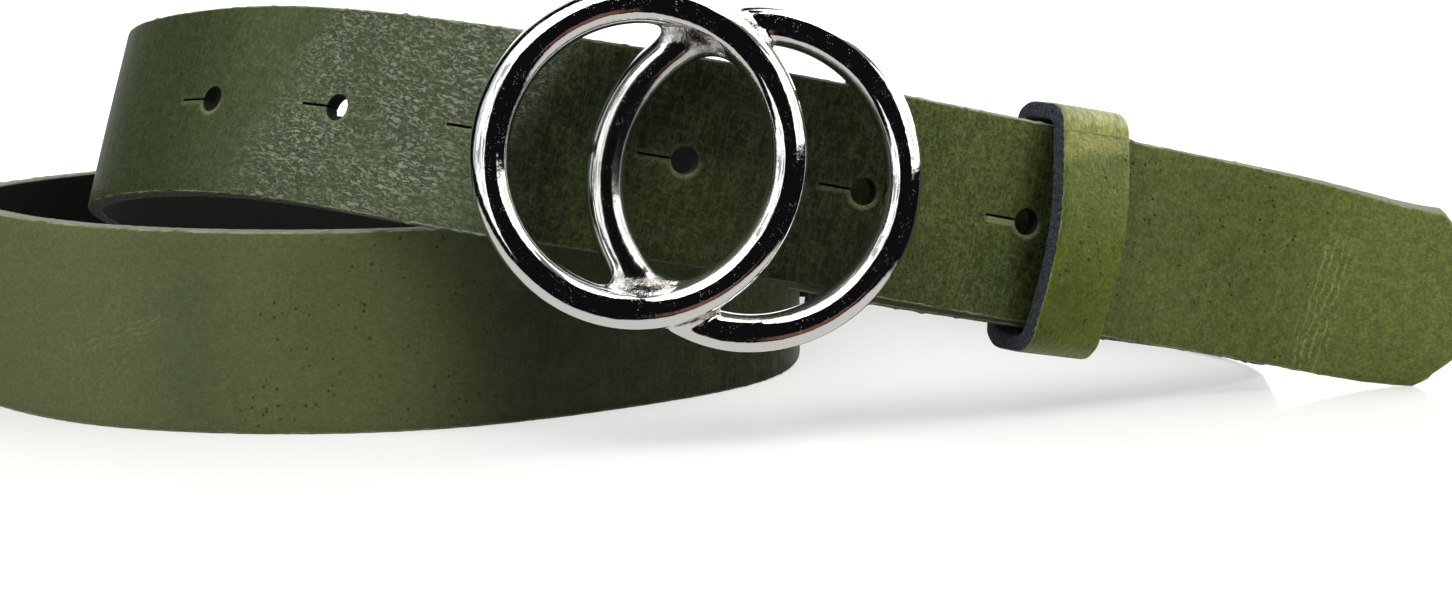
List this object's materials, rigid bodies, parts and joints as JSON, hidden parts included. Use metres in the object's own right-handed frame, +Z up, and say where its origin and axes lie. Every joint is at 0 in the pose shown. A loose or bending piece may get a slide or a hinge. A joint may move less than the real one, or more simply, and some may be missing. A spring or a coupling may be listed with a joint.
{
  "type": "belt",
  "caption": "Coiled leather belt standing on its edge, with a double ring buckle, keyhole punched strap with a clipped tip, and a loose leather keeper.",
  "frame": {"origin": "middle of the coiled belt's outline on the floor it stands on", "axes": "+X to the right as seen in front of the buckle, towards the strap's tip; +Y away from the front; +Z up, across the standing strap"},
  "size_m": [0.2804, 0.1736, 0.0775],
  "materials": {
    "strap_leather": "satin",
    "keeper_leather": "satin",
    "buckle_metal": "polished"
  },
  "bodies": {
    "root": {"strap": "strap_leather", "keeper": "keeper_leather", "double_ring_buckle": "buckle_metal"}
  },
  "joints": []
}
